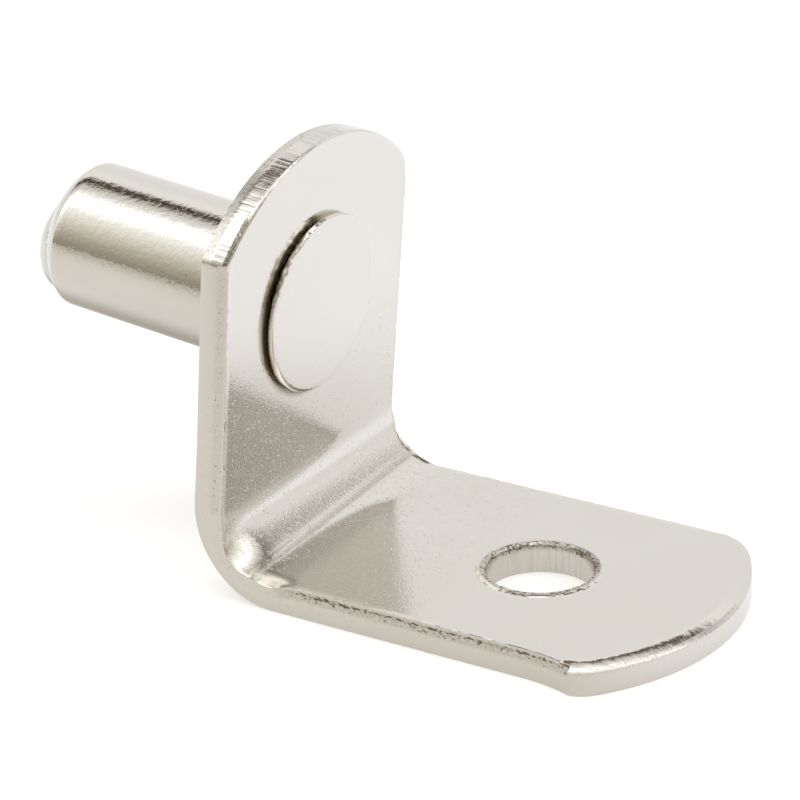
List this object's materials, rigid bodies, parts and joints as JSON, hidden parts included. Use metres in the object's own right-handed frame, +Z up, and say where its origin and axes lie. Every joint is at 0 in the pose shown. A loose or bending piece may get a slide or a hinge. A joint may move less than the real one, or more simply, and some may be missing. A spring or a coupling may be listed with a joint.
{
  "type": "shelf support pin",
  "caption": "Nickel-plated L-shaped shelf support: a folded steel bracket with a screw hole in its leg and a headed pin riveted through its upright plate.",
  "frame": {"origin": "centre of the pin's seat, where the pin's axis meets the back face of the upright plate", "axes": "+X away from the cabinet wall along the level leg, +Z up, +Y across the strip; the pin points along -X and tips up by the plate's lean of 5.4 degrees"},
  "size_m": [0.0324, 0.0138, 0.0184],
  "materials": {
    "bracket_plating": "bright nickel plating over sheared steel strip",
    "pin_plating": "bright nickel plating over drawn steel wire"
  },
  "bodies": {
    "root": {"bracket": "bracket_plating", "pin": "pin_plating"}
  },
  "joints": []
}
